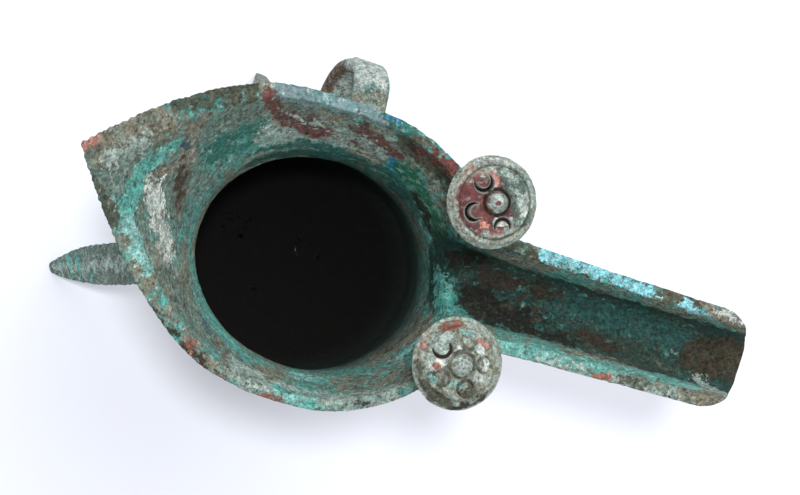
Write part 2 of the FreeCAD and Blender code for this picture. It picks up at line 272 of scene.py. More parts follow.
def corrosion_tree():
    tree = new_tree("corrosion", CORROSION_INPUTS)
    given = add_node(tree, "NodeGroupInput")
    place = add_node(tree, "GeometryNodeInputPosition").outputs[0]
    normal = add_node(tree, "GeometryNodeInputNormal").outputs[0]
    sizes = given.outputs

    def wave(spacing, height, detail):
        scale = maths(tree, "DIVIDE", 1.0, sizes[spacing])
        value = noise(tree, place, scale, detail, sizes["Seed"], CRUST_ROUGHNESS)
        return maths(tree, "MULTIPLY", maths(tree, "SUBTRACT", value, 0.5), sizes[height])

    swell = wave("Swell spacing", "Swell height", 2)
    crust = wave("Crust spacing", "Crust height", 4)
    sources = {"Vector": place, "W": sizes["Seed"],
               "Scale": maths(tree, "DIVIDE", 1.0, sizes["Pit spacing"])}
    cells = wired(tree, "ShaderNodeTexVoronoi", sources, feature="SMOOTH_F1",
                  voronoi_dimensions="4D")
    hollow = maths(tree, "SUBTRACT", PIT_REACH, cells.outputs["Distance"])
    pit = maths(tree, "MULTIPLY", maths(tree, "MAXIMUM", hollow, 0.0), sizes["Pit depth"])
    rise = maths(tree, "SUBTRACT", maths(tree, "ADD", swell, crust), pit)
    move = wired(tree, "GeometryNodeSetPosition", {
        "Geometry": sizes["Geometry"], "Offset": scale_vector(tree, normal, rise)})
    finish_tree(tree, move.outputs[0], given)
    return tree


def run_tree(piece, tree, values):
    """Adds the tree with its inputs set by identifier."""
    modifier = piece.modifiers.new(tree.name, "NODES")
    modifier.node_group = tree
    for item in tree.interface.items_tree:
        if item.in_out == "INPUT" and item.name in values:
            modifier[item.identifier] = values[item.name]
    return modifier


# %% [markdown]
# ## Patina colours
# Bronze in wet ground turns into several minerals: green malachite, blue azurite, red
# cuprite, and pale or brown crusts of soil. The colours below are written as they look.

# %% Colours
def seen(red, green, blue):
    """A colour as it looks on a screen, from 0 to 255, made linear for a shader."""
    def linear(value):
        value = value / 255
        return value / 12.92 if value <= 0.04045 else ((value + 0.055) / 1.055) ** 2.4
    return (linear(red), linear(green), linear(blue), 1.0)


GREY_TAN = seen(150, 146, 128)
TURQUOISE = seen(94, 180, 170)
PALE_TURQUOISE = seen(140, 200, 194)
GREY_WHITE = seen(202, 212, 206)
DARK_BROWN = seen(66, 56, 47)
TEAL_GREEN = seen(50, 116, 106)
OLIVE = seen(92, 94, 78)
DULL_GREEN = seen(118, 138, 128)
BLUE_GREY = seen(112, 138, 142)
CUPRITE = seen(118, 68, 64)
ROSE = seen(100, 38, 46)
SALMON = seen(190, 134, 120)
PALE_GREEN = seen(172, 192, 184)
CHALK = seen(228, 236, 230)
THROAT_TEAL = seen(38, 96, 90)
EMERALD = seen(4, 112, 84)
# Painted shade: greenish in the upper bowl, black deep in it, on the spacer tops and in the
# deepest cap grooves
BOWL_SHADE = seen(50, 74, 66)
BOWL_BLACK = seen(8, 7, 6)
AZURITE = seen(50, 136, 176)
DARK_BLUE = seen(52, 92, 108)
RUST = seen(162, 100, 82)
SPOUT_GREEN = seen(33, 64, 58)
SPOUT_BLACK = seen(40, 37, 31)
SPOUT_TEAL = seen(48, 92, 88)
LOWER_TEAL = seen(114, 182, 172)
BRIGHT_CYAN = seen(150, 226, 238)
END_BROWN = seen(78, 70, 56)
WARM_BROWN = seen(116, 88, 62)
LAVENDER = seen(160, 160, 182)

# %% [markdown]
# ## The patina shader
# A group node lays one stroke of colour from one place on the bronze to another, like a
# loaded brush. Its distance is bent by noise, so its edge is ragged as a mineral's is. A
# chain of such strokes paints the whole map over a mottled ground. An image of the patina
# would fix it to one view, while strokes placed in the bronze hold from every side.

# %% Stroke group
STROKE_INPUTS = [("Under", "Color"), ("Grain under", "Float"), ("Place", "Vector"),
                 ("Crumble", "Float"), ("Mottle", "Float"), ("From", "Vector"),
                 ("To", "Vector"), ("Width", "Float"), ("Ragged", "Float"),
                 ("Softness", "Float"), ("Strength", "Float"), ("Colour", "Color"),
                 ("Grain", "Float")]
NEVER_ZERO = 0.0001
# A stroke thins to this cover where the mottle is under this value
WORN_COVER, WORN_BELOW = 0.6, 0.35
# Its tone runs from the darkest up through this range as the mottle rises
DARKEST_TONE, TONE_RANGE = 0.72, 0.5


def mix_colour(tree, factor, under, over):
    """The sockets 6, 7 and 2 are the mix node's two colours and its result."""
    sources = {"Factor": factor, 6: under, 7: over}
    return wired(tree, "ShaderNodeMix", sources, data_type="RGBA").outputs[2]


def ease_between(tree, value, low, high):
    """0 below low, 1 above high, and a smooth change between them."""
    sources = {"Value": value, "From Min": low, "From Max": high}
    made = wired(tree, "ShaderNodeMapRange", sources, interpolation_type="SMOOTHSTEP")
    return made.outputs[0]


def stroke_group():
    tree = bpy.data.node_groups.new("stroke", "ShaderNodeTree")
    for label, kind in STROKE_INPUTS:
        tree.interface.new_socket(label, in_out="INPUT", socket_type="NodeSocket" + kind)
    tree.interface.new_socket("Colour", in_out="OUTPUT", socket_type="NodeSocketColor")
    tree.interface.new_socket("Grain", in_out="OUTPUT", socket_type="NodeSocketFloat")
    given = add_node(tree, "NodeGroupInput").outputs
    along = vector_maths(tree, "SUBTRACT", given["To"], given["From"])
    reach = vector_maths(tree, "SUBTRACT", given["Place"], given["From"])
    length = maths(tree, "ADD", vector_maths(tree, "DOT_PRODUCT", along, along), NEVER_ZERO)
    share = maths(tree, "DIVIDE", vector_maths(tree, "DOT_PRODUCT", reach, along), length)
    share = maths(tree, "MINIMUM", maths(tree, "MAXIMUM", share, 0.0), 1.0)
    nearest = scale_vector(tree, along, share)
    distance = vector_maths(tree, "DISTANCE", reach, nearest)
    inside = maths(tree, "SUBTRACT", 1.0, maths(tree, "DIVIDE", distance, given["Width"]))
    inside = maths(tree, "MULTIPLY_ADD", given["Crumble"], given["Ragged"], inside)
    factor = ease_between(tree, inside, 0.0, given["Softness"])
    factor = maths(tree, "MULTIPLY", factor, given["Strength"])
    worn = ease_between(tree, given["Mottle"], 0.0, WORN_BELOW)
    cover = maths(tree, "MULTIPLY_ADD", worn, 1 - WORN_COVER, WORN_COVER)
    factor = maths(tree, "MULTIPLY", factor, cover)
    tone = maths(tree, "MULTIPLY_ADD", given["Mottle"], TONE_RANGE, DARKEST_TONE)
    colour = mix_colour(tree, factor, given["Under"], scale_vector(tree, given["Colour"], tone))
    sources = {"Factor": factor, 2: given["Grain under"], 3: given["Grain"]}
    grain = wired(tree, "ShaderNodeMix", sources, data_type="FLOAT")
    wired(tree, "NodeGroupOutput", {"Colour": colour, "Grain": grain.outputs[0]})
    return tree


STROKE = stroke_group()

# %% [markdown]
# ## Where the minerals lie
# Each row is one stroke: its colour, the two places it runs between and its half width, in
# millimetres in the frame, how ragged it is and how strong its grain. A thin stroke that
# is very ragged breaks up into islands. The rows are in the order in which they are laid:
# the tail, the lip and throat on the handle's side, the other flank, the spout, and last
# the outside with the streaks that lie across the leg under the tail.

# %% Strokes
TAIL_STROKES = [
    (DULL_GREEN, (-90, 0, 180), (-55, -4, 160), 16.0, 1.6, 1.2),
    (GREY_TAN, (-88, 1, 180), (-75, 10, 172), 5.6, 1.2, 1.5),
    (PALE_GREEN, (-85, -2, 178), (-77, 4, 174), 3.4, 2.0, 1.5),
    (OLIVE, (-88, -8, 179), (-79, -16, 175), 2.2, 2.0, 1.5),
    (TURQUOISE, (-67, 8, 165), (-73, 1, 168), 2.6, 1.6, 1.0),
    (TURQUOISE, (-74, 0, 168), (-77, -11, 173), 3.6, 1.6, 1.0),
    (GREY_TAN, (-72, -4, 166), (-64, 4, 160), 2.2, 1.6, 1.4),
    (CHALK, (-69, -7, 164), (-62, -19, 159), 5.0, 1.9, 1.3),
    (CUPRITE, (-66, -11, 161), (-65, -12, 161), 0.9, 1.6, 1.2),
    (PALE_TURQUOISE, (-75, -16, 173), (-67, -24, 169), 2.6, 1.3, 1.0),
    (GREY_TAN, (-66, 12, 165), (-61, -8, 152), 3.2, 2.0, 1.5),
    (GREY_TAN, (-67, 13, 166), (-62, 2, 157), 2.6, 2.6, 1.5),
    (DARK_BROWN, (-65, 3, 158), (-62, -6, 153), 2.2, 3.8, 1.5),
    (DARK_BLUE, (-67, 10, 165), (-65, 7, 161), 1.2, 4.0, 1.5),
    (SALMON, (-95, -2, 183), (-91, 1, 181), 2.0, 0.8, 1.0),
    (CUPRITE, (-93, 4, 182), (-76, 17, 175), 0.9, 1.2, 1.0),
    (DARK_BROWN, (-92, -7, 181), (-66, -34, 168), 1.0, 2.2, 1.3),
]
LIP_STROKES = [
    (DULL_GREEN, (-58, 14, 158), (-40, 26, 156), 7.0, 1.4, 1.2),
    (TEAL_GREEN, (-57, 10, 153), (-47, 18, 150), 6.0, 1.0, 0.8),
    (TEAL_GREEN, (-57, 9, 155), (-49, 15, 152), 2.4, 2.4, 0.8),
    (OLIVE, (-72, 17, 172), (-54, 26, 164), 3.0, 1.8, 1.5),
    (RUST, (-66, 21, 170), (-63, 22, 169), 0.9, 2.4, 1.4),
    (PALE_GREEN, (-42, 19, 149), (-12, 24, 150), 6.2, 0.8, 1.2),
    (BLUE_GREY, (-45, 29, 161), (-17, 31, 158), 3.9, 0.5, 0.4),
    (CUPRITE, (-50, 27, 163), (-44, 23, 154), 1.9, 0.7, 0.9),
    (CUPRITE, (-41, 24, 153), (-31, 23, 149), 3.6, 2.2, 1.5),
    (CUPRITE, (-29, 22, 148), (-19, 22, 147), 1.4, 2.6, 1.4),
    (CUPRITE, (-21, 26, 152), (-10, 23, 150), 3.0, 2.4, 1.5),
    (PALE_GREEN, (-40, 20, 147), (-36, 19, 145), 1.6, 1.4, 1.2),
    (PALE_GREEN, (-46, 25, 155), (-31, 24, 150), 1.1, 5.6, 1.5),
    (PALE_GREEN, (-28, 23, 150), (-12, 24, 149), 1.1, 5.6, 1.5),
    (TEAL_GREEN, (-15, 32, 158), (-9, 30, 158), 2.8, 1.4, 1.0),
    (AZURITE, (-16, 31, 158), (-14, 31, 158), 1.0, 1.6, 0.8),
    (OLIVE, (-8, 26, 155), (6, 20, 158), 5.0, 1.4, 1.5),
    (DARK_BROWN, (-7, 26, 156), (4, 20, 158), 2.6, 2.2, 1.5),
    (CUPRITE, (-4, 25, 157), (3, 24, 160), 3.0, 1.2, 1.1),
    (EMERALD, (-5, 18, 145), (12, 0, 141), 7.0, 0.7, 0.8),
    (SPOUT_BLACK, (2, 14, 141), (9, 5, 138), 2.6, 2.2, 1.1),
    (THROAT_TEAL, (-46, 15, 143), (-30, 21, 142), 2.6, 1.0, 0.7),
    (THROAT_TEAL, (-30, 21, 142), (-4, 17, 141), 2.6, 1.0, 0.7),
    (THROAT_TEAL, (-44, 12, 138), (-28, 19, 137), 3.6, 1.0, 0.7),
    (THROAT_TEAL, (-28, 19, 137), (-2, 15, 136), 3.6, 1.0, 0.7),
    (SPOUT_TEAL, (-2, 15, 136), (12, -6, 134), 5.0, 0.9, 0.7),
    (AZURITE, (-9, 22, 147), (-8, 20, 144), 1.5, 1.4, 0.9),
]
FLANK_STROKES = [
    (DULL_GREEN, (-60, -26, 163), (-36, -40, 150), 5.0, 1.4, 1.3),
    (TURQUOISE, (-54, -20, 143), (-45, -30, 141), 3.6, 1.6, 1.0),
    (TURQUOISE, (-45, -30, 141), (-33, -39, 145), 3.8, 1.6, 1.0),
    (DARK_BLUE, (-49, -25, 141), (-47, -29, 144), 1.0, 2.0, 0.9),
    (DARK_BLUE, (-46, -33, 150), (-44, -35, 150), 1.3, 1.8, 0.9),
    (GREY_TAN, (-60, -28, 165), (-56, -31, 163), 2.0, 1.8, 1.5),
    (DARK_BROWN, (-62, -35, 167), (-38, -46, 160), 1.2, 2.4, 1.4),
    (RUST, (-50, -39, 162), (-47, -41, 161), 1.7, 1.4, 1.2),
    (RUST, (-40, -38, 151), (-38, -40, 152), 1.2, 1.8, 1.2),
    (PALE_GREEN, (-33, -43, 155), (4, -39, 160), 5.6, 0.8, 1.1),
    (TURQUOISE, (-22, -44, 156), (-12, -46, 158), 2.2, 2.2, 1.0),
    (PALE_TURQUOISE, (-20, -45, 157), (-16, -46, 158), 1.4, 1.8, 1.0),
    (RUST, (-26, -47, 158), (-22, -47, 158), 1.3, 1.4, 1.2),
    (PALE_TURQUOISE, (-16, -40, 143), (12, -22, 143), 3.2, 1.2, 1.0),
    (DARK_BROWN, (-5, -42, 160), (2, -40, 161), 1.1, 2.6, 1.5),
]
SPOUT_STROKES = [
    (SPOUT_GREEN, (16, -2, 142), (92, -2, 167), 13.0, 0.4, 1.0),
    (TURQUOISE, (13, -4, 138), (20, -12, 145), 4.2, 1.8, 1.0),
    (SPOUT_TEAL, (46, 1, 152), (78, 0, 163), 4.2, 2.6, 1.0),
    (SPOUT_BLACK, (24, -6, 146), (38, -8, 151), 5.2, 1.8, 1.3),
    (SPOUT_BLACK, (39, -10, 153), (50, -9, 156), 2.6, 2.4, 1.3),
    (SPOUT_BLACK, (15, 2, 143), (22, 6, 147), 3.4, 1.8, 1.3),
    (DARK_BROWN, (26, 1, 146), (44, 3, 151), 3.0, 2.6, 1.3),
    (DARK_BROWN, (52, -6, 155), (60, -8, 158), 1.8, 2.6, 1.4),
    (LOWER_TEAL, (31, -16, 166), (54, -14, 170), 3.0, 1.2, 0.9),
    (LOWER_TEAL, (54, -13, 169), (80, -12, 172), 3.8, 1.0, 0.9),
    (PALE_TURQUOISE, (40, -15, 167), (70, -13, 171), 1.2, 2.6, 0.9),
    (PALE_GREEN, (33, -17, 168), (79, -15, 177), 1.6, 1.8, 1.3),
    (RUST, (52, -16, 171), (57, -16, 172), 1.1, 1.6, 1.2),
    (OLIVE, (60, -15, 173), (66, -15, 174), 1.3, 2.4, 1.4),
    (GREY_TAN, (76, -14, 177), (90, -12, 180), 1.9, 1.6, 1.6),
    (OLIVE, (19, 9, 164), (30, 9, 166), 2.2, 1.8, 1.5),
    (OLIVE, (30, 10, 167), (80, 9, 177), 1.8, 1.2, 1.3),
    (BRIGHT_CYAN, (32, 10, 167), (61, 9, 173), 2.2, 1.8, 1.1),
    (BRIGHT_CYAN, (70, 8, 175), (77, 7, 176), 1.3, 2.2, 0.9),
    (CUPRITE, (42, 7, 168), (54, 6, 171), 0.8, 1.6, 1.1),
    (GREY_TAN, (74, 10, 177), (84, 8, 178), 2.2, 1.6, 1.6),
    (CHALK, (79, 10, 178), (92, 8, 179), 1.7, 1.8, 1.6),
    (END_BROWN, (84, -3, 164), (94, 1, 168), 6.6, 0.6, 1.6),
    (PALE_GREEN, (83, -9, 167), (90, -11, 175), 2.6, 2.2, 1.6),
    (LAVENDER, (93, -12, 178), (94, 6, 178), 1.2, 1.4, 0.6),
]
OUTER_STROKES = [
    (GREY_WHITE, (-20, 46, 130), (-16, 46, 98), 11.0, 0.8, 1.3),
    (WARM_BROWN, (-23, 41, 100), (-22, 44, 114), 3.6, 1.2, 1.4),
    (DULL_GREEN, (-64, -31, 4), (-50, -23, 60), 8.0, 1.0, 1.3),
    (PALE_GREEN, (-64, -31, 4), (-50, -23, 60), 1.8, 3.2, 1.3),
    (CUPRITE, (-40, -48, 92), (-22, -50, 104), 9.0, 2.6, 1.3),
    (DARK_BROWN, (-30, -50, 84), (6, -46, 78), 7.0, 3.0, 1.5),
    (PALE_GREEN, (4, -46, 112), (16, -38, 128), 8.0, 1.8, 1.2),
    (BLUE_GREY, (20, 4, 96), (18, -16, 122), 8.0, 2.0, 1.0),
    (GREY_TAN, (14, 26, 90), (4, 34, 122), 8.0, 2.2, 1.5),
    (EMERALD, (22, 10, 132), (50, 4, 142), 6.0, 2.0, 0.9),
    (DARK_BROWN, (-70, 8, 118), (-76, 4, 140), 6.0, 2.4, 1.4),
    (GREY_WHITE, (-66, -24, 120), (-60, -30, 134), 6.0, 2.0, 1.3),
]
for height in (7, 14, 20, 29, 41):
    lean = height / 5
    across = (-66 + lean, -27, height), (-62 + lean, -33, height - 1)
    OUTER_STROKES.append((TURQUOISE, *across, 1.5, 1.6, 1.0))
STROKES = TAIL_STROKES + LIP_STROKES + FLANK_STROKES + SPOUT_STROKES + OUTER_STROKES
print("strokes:", len(STROKES))

# %% Patina finish
def ramp(tree, value, stops):
    """Colours spread over a value from 0 to 1."""
    made = wired(tree, "ShaderNodeValToRGB", {0: value})
    stops_now = made.color_ramp.elements
    while len(stops_now) < len(stops):
        stops_now.new(0.5)
    for element, (position, colour) in zip(stops_now, stops):
        element.position = position
        element.color = colour
    return made.outputs[0]


def new_finish(name):
    material = bpy.data.materials.new(name)
    material.use_nodes = True
    tree = material.node_tree
    tree.nodes.clear()
    shader = add_node(tree, "ShaderNodeBsdfPrincipled")
    wired(tree, "ShaderNodeOutputMaterial", {0: shader.outputs[0]})
    return material, tree, shader


def millimetres(tree):
    place = add_node(tree, "ShaderNodeTexCoord").outputs["Object"]
    return scale_vector(tree, place, 1 / MM)


EDGE_NOISE = {"Scale": 0.3, "Detail": 6, "Roughness": 0.62}


def ragged_place(tree, place, reach):
    """The place pushed about by a noise, so that what is drawn on it gets ragged edges."""
    pushes = wired(tree, "ShaderNodeTexNoise", {"Vector": place, **EDGE_NOISE})
    push = vector_maths(tree, "SUBTRACT", pushes.outputs["Color"], (0.5, 0.5, 0.5))
    return vector_maths(tree, "ADD", place, scale_vector(tree, push, 2 * reach))


STROKE_SOFTNESS, STROKE_STRENGTH = 0.25, 0.92


def lay_strokes(tree, colour, grain, place, crumble, mottle, strokes):
    for hue, start, end, width, ragged, strength in strokes:
        sources = {"Under": colour, "Grain under": grain, "Place": place, "Crumble": crumble,
                   "Mottle": mottle, "From": start, "To": end, "Width": width,
                   "Ragged": ragged, "Softness": STROKE_SOFTNESS,
                   "Strength": STROKE_STRENGTH, "Colour": hue, "Grain": strength}
        stroke = wired(tree, "ShaderNodeGroup", sources, node_tree=STROKE)
        colour, grain = stroke.outputs["Colour"], stroke.outputs["Grain"]
    return colour, grain


# Each cloud has its scale to a millimetre, detail, seed, roughness and spread
BROAD_CLOUD = (0.036, 5, 29.0, 0.66, 0.14)
COARSE_CLOUD = (0.10, 8, 3.0, 0.68, 0.17)
MIDDLE_CLOUD = (0.42, 7, 7.0, 0.70, 0.16)
PATCHY_CLOUD = (0.8, 5, 17.0, 0.74, 0.17)
FINE_CLOUD = (1.5, 6, 11.0, 0.80, 0.17)


def cloud(tree, place, scale, detail, seed, roughness, spread):
    """A noise stretched to run from 0 to 1; a smaller spread gives harder edges."""
    value = noise(tree, place, scale, detail, seed, roughness)
    return ease_between(tree, value, 0.5 - spread, 0.5 + spread)


# A tint with more green than this is pale, and ground with less than this is dark
PALE_FROM = 0.3
DARK_BELOW, LIGHT_ABOVE = 0.10, 0.20
SPECK_DETAIL, SPECK_ROUGHNESS, SPECK_EDGE = 8, 0.78, 0.04


def dust(tree, colour, place, tint, spacing, seed, rarity, amount):
    """Small ragged specks of one colour over what lies under them; pale ones skip dark
    ground."""
    value = noise(tree, place, 1 / spacing, SPECK_DETAIL, seed, SPECK_ROUGHNESS)
    edge = 0.5 + rarity
    specks = ease_between(tree, value, edge, edge + SPECK_EDGE)
    if tint[1] > PALE_FROM:
        parts = wired(tree, "ShaderNodeSeparateColor", {0: colour})
        light = ease_between(tree, parts.outputs["Green"], DARK_BELOW, LIGHT_ABOVE)
        specks = maths(tree, "MULTIPLY", specks, light)
    return mix_colour(tree, maths(tree, "MULTIPLY", specks, amount), colour, tint)


MIDDLE_SHARE, COARSE_SHARE, BROAD_SHARE = 0.34, 0.36, 0.30


def mottled_ground(tree, place, middle, ground):
    """Three clouds of different size, added up, pick the colour of the ground."""
    broad = cloud(tree, place, *BROAD_CLOUD)
    coarse = cloud(tree, place, *COARSE_CLOUD)
    spread = maths(tree, "MULTIPLY", coarse, COARSE_SHARE)
    spread = maths(tree, "MULTIPLY_ADD", middle, MIDDLE_SHARE, spread)
    return ramp(tree, maths(tree, "MULTIPLY_ADD", broad, BROAD_SHARE, spread), ground)


# What the two clouds add to the shade, and what is taken off so that it stays even
FINE_SHADE, PATCHY_SHADE, SHADE_OFFSET = 1.1, 0.85, -0.90


def grained(tree, place, fine, grain, colour):
    """Light and dark grain over a colour, as strong as the stroke under it says."""
    patchy = cloud(tree, place, *PATCHY_CLOUD)
    shade = maths(tree, "MULTIPLY_ADD", fine, FINE_SHADE, SHADE_OFFSET)
    shade = maths(tree, "MULTIPLY_ADD", patchy, PATCHY_SHADE, shade)
    shade = maths(tree, "MULTIPLY_ADD", shade, maths(tree, "MINIMUM", grain, 1.0), 1.0)
    return scale_vector(tree, colour, shade)


def darken_with_soil_and_shade(tree, colour, soil_and_shade):
    """The soil and shade colour where "depth" is 1, painted black where it is 2, pale where "pale"
    is 1.
    """
    deep = add_node(tree, "ShaderNodeAttribute", attribute_name="depth").outputs["Fac"]
    colour = mix_colour(tree, maths(tree, "MINIMUM", deep, 1.0), colour, soil_and_shade)
    deeper = maths(tree, "MAXIMUM", maths(tree, "SUBTRACT", deep, 1.0), 0.0)
    colour = mix_colour(tree, deeper, colour, BOWL_BLACK)
    pale = add_node(tree, "ShaderNodeAttribute", attribute_name="pale").outputs["Fac"]
    return mix_colour(tree, pale, colour, GREY_WHITE)


BUMP_HEIGHT, MIDDLE_BUMP = 0.32 * MM, 1.5
MATT_SPECULAR, LEAST_ROUGHNESS, GRAIN_ROUGHNESS = 0.25, 0.5, 0.2
# How far the two clouds move a stroke's edge, and their mean, which is taken off
FINE_CRUMBLE, MIDDLE_CRUMBLE, MEAN_CRUMBLE = 0.30, 0.35, 0.325


def patina_finish(name, ground, strokes, dusts, bend=4.0, soil_and_shade=BOWL_SHADE):
    """Mottled ground, strokes, specks, then fine light and dark grain over all."""
    material, tree, shader = new_finish(name)
    place = millimetres(tree)
    middle = cloud(tree, place, *MIDDLE_CLOUD)
    fine = cloud(tree, place, *FINE_CLOUD)
    colour = mottled_ground(tree, place, middle, ground)
    crumble = maths(tree, "MULTIPLY", middle, MIDDLE_CRUMBLE)
    crumble = maths(tree, "MULTIPLY_ADD", fine, FINE_CRUMBLE, crumble)
    crumble = maths(tree, "SUBTRACT", crumble, MEAN_CRUMBLE)
    bent = ragged_place(tree, place, bend)
    colour, grain = lay_strokes(tree, colour, 1.0, bent, crumble, middle, strokes)
    for specks in dusts:
        colour = dust(tree, colour, place, *specks)
    # Painted shade inside the bowl, and soil with painted shade in the cap grooves
    colour = darken_with_soil_and_shade(tree, grained(tree, place, fine, grain, colour), soil_and_shade)
    relief = maths(tree, "MULTIPLY_ADD", middle, MIDDLE_BUMP, fine)
    relief = maths(tree, "MULTIPLY", relief, grain)
    bump = wired(tree, "ShaderNodeBump", {
        "Strength": 1.0, "Distance": BUMP_HEIGHT, "Height": relief})
    rough = maths(tree, "MULTIPLY_ADD", grain, GRAIN_ROUGHNESS, LEAST_ROUGHNESS)
    finish = {"Base Color": colour, "Normal": bump.outputs[0], "Roughness": rough,
              "Specular IOR Level": MATT_SPECULAR}
    for label, source in finish.items():
        feed(tree, shader.inputs[label], source)
    return material


# Each row: tint, spacing, seed, rarity and amount
BODY_DUST = [(PALE_TURQUOISE, 3.0, 45.0, 0.05, 0.5), (OLIVE, 4.0, 63.0, 0.06, 0.5),
             (DARK_BROWN, 2.2, 21.0, 0.055, 0.7), (GREY_WHITE, 1.7, 33.0, 0.06, 0.6),
             (RUST, 2.6, 71.0, 0.11, 0.6), (SPOUT_BLACK, 0.7, 57.0, 0.06, 0.7)]
BODY_GROUND = [(0.10, TEAL_GREEN), (0.30, TURQUOISE), (0.48, DULL_GREEN), (0.64, GREY_TAN),
               (0.85, OLIVE)]
patinated_bronze = patina_finish("patinated_bronze", BODY_GROUND, STROKES, BODY_DUST)

# %% [markdown]
# ## Corrode the casting and cut it into its members
# The relief is made on the whole casting first, so it runs on across each seam. Then flat
# cuts part the members where the real ones join: below the bowl for the legs, close to the
# wall for the handle, just above the lip for the posts, and two upright cuts for the
# spout and the tail.

# %% Corrode
CORROSION = corrosion_tree()
BODY_RELIEF = {"Swell height": 0.8 * MM, "Swell spacing": 14 * MM,
               "Crust height": 0.42 * MM, "Crust spacing": 3.2 * MM,
               "Pit depth": 0.6 * MM, "Pit spacing": 4.4 * MM, "Seed": 4.0}
run_tree(casting, CORROSION, {**BODY_RELIEF, "Finish": patinated_bronze})
casting = take_result(casting)
print("corroded casting:", len(casting.data.vertices), "points")

# %% Cut into members
BOWL_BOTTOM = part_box("cup")[0].z
SPOUT_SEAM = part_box("spout")[0].x
TAIL_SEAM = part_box("tail")[1].x
HANDLE_CUT = 25.2 * MM
HANDLE_ROOM = (93.0 * MM, 141.0 * MM)
LEG_CUT = BOWL_BOTTOM - 0.4 * MM
POST_CUT = 165.5 * MM
POST_ROOM = 7.5 * MM
LIP_LEVEL = 140.0 * MM
FEET_NODES = ["leg_handle_side", "leg_tail_side", "leg_spout_side"]
POSTS = ["post_handle_side", "post_far_side"]


def middle_of(node):
    low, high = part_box(node)
    return (low + high) / 2


STANDS = {node: middle_of(node).xy for node in FEET_NODES + POSTS}


def member_at(point):
    """The name of the member that a point of the casting belongs to."""
    if point.z < LEG_CUT:
        return min(FEET_NODES, key=lambda leg: (STANDS[leg] - point.xy).length)
    if HANDLE_ROOM[0] < point.z < HANDLE_ROOM[1] and point.y > HANDLE_CUT:
        return "handle"
    if point.z > POST_CUT:
        for post in POSTS:
            if (STANDS[post] - point.xy).length < POST_ROOM:
                return post
    if point.z > LIP_LEVEL and point.x > SPOUT_SEAM:
        return "spout"
    if point.z > LIP_LEVEL and point.x < TAIL_SEAM:
        return "tail"
    return "cup"


CUT_REACH = 2 * MM


def slice_at(whole, point, normal, near):
    """Cuts the faces that the test picks, along one plane, and leaves both sides in place."""
    faces = [face for face in whole.faces if near(face.calc_center_median())]
    edges = {edge for face in faces for edge in face.edges}
    verts = {vert for face in faces for vert in face.verts}
    bmesh.ops.bisect_plane(whole, geom=faces + list(edges) + list(verts), plane_co=point,
                           plane_no=normal, dist=1e-7)


def slice_seams(whole):
    """Every flat cut between two members."""
    slice_at(whole, (0, 0, LEG_CUT), (0, 0, 1), lambda p: abs(p.z - LEG_CUT) < CUT_REACH)
    slice_at(whole, (0, HANDLE_CUT, 0), (0, 1, 0),
             lambda p: HANDLE_ROOM[0] < p.z < HANDLE_ROOM[1] and abs(p.y - HANDLE_CUT) < CUT_REACH)
    for seam in (SPOUT_SEAM, TAIL_SEAM):
        slice_at(whole, (seam, 0, 0), (1, 0, 0),
                 lambda p: p.z > LIP_LEVEL and abs(p.x - seam) < CUT_REACH)
    for post in POSTS:
        centre = STANDS[post]
        slice_at(whole, (0, 0, POST_CUT), (0, 0, 1),
                 lambda p: abs(p.z - POST_CUT) < CUT_REACH and (centre - p.xy).length < POST_ROOM)


def closed_member(whole, owner, member):
    """The faces of one member, with a lid on each hole that the cuts left."""
    part = whole.copy()
    part.faces.ensure_lookup_table()
    drop = [face for face, name in zip(part.faces, owner) if name != member]
    bmesh.ops.delete(part, geom=drop, context="FACES")
    rim = [edge for edge in part.edges if edge.is_boundary]
    for edge in rim:
        edge.smooth = False
    bmesh.ops.holes_fill(part, edges=rim, sides=0)
    bmesh.ops.triangulate(part, faces=part.faces[:])
    mesh = bpy.data.meshes.new(member)
    part.to_mesh(mesh)
    open_edges = sum(1 for edge in part.edges if not edge.is_manifold)
    print(member, "triangles:", len(mesh.polygons), "open edges:", open_edges)
    part.free()
    mesh.materials.append(patinated_bronze)
    return link_mesh(member + "_bronze", mesh)


def cut_into_members(whole_piece):
    whole = bmesh.new()
    whole.from_mesh(whole_piece.data)
    slice_seams(whole)
    whole.faces.ensure_lookup_table()
    owner = [member_at(face.calc_center_median()) for face in whole.faces]
    pieces = {member: closed_member(whole, owner, member) for member in CASTING}
    whole.free()
    bpy.data.objects.remove(whole_piece)
    return pieces


members = cut_into_members(casting)

# %% [markdown]
# ## Painted shade in the bowl
# The inside of the bowl is painted with shade, greenish below the lip and nearly black at
# the bottom. Each point gets a number, from 0 outside and at the lip to 2 at the bottom, for
# how deep inside it lies. The finish reads it, because a place alone can't tell the inner
# face of the thin wall from the outer one.

# %% Depth
CUP_AXIS = Vector((-19.7, -9.9)) * MM
# Heights where the bowl's painted shade starts and is full, and where it turns black
SHADE_FROM, SHADE_FULL = 137.0 * MM, 113.0 * MM
BLACK_FROM, BLACK_FULL = 121.0 * MM, 94.0 * MM
# How much a face that looks up counts as inner, and how sharply inner meets outer
UPWARD_SHARE, INNER_SHARPNESS = 0.6, 3


def store_number(mesh, name, values):
    layer = mesh.attributes.new(name, "FLOAT", "POINT")
    layer.data.foreach_set("value", values.astype(np.float32))


def mark_depth(piece):
    """0 outside and at the lip, 1 where the bowl is painted in shade and 2 where it is painted
    black.
    """
    place, normal = read_vectors(piece.data, "co"), read_vectors(piece.data, "normal")
    outward = place[:, :2] - np.array(CUP_AXIS)
    outward /= np.linalg.norm(outward, axis=1, keepdims=True) + 1e-9
    facing_in = -(outward * normal[:, :2]).sum(axis=1) + UPWARD_SHARE * normal[:, 2]
    inner = np.clip(facing_in * INNER_SHARPNESS, 0, 1) * (place[:, 2] > BOWL_BOTTOM)
    shade = np.clip((SHADE_FROM - place[:, 2]) / (SHADE_FROM - SHADE_FULL), 0, 1)
    black = np.clip((BLACK_FROM - place[:, 2]) / (BLACK_FROM - BLACK_FULL), 0, 1)
    store_number(piece.data, "depth", inner * (shade + black))


mark_depth(members["cup"])
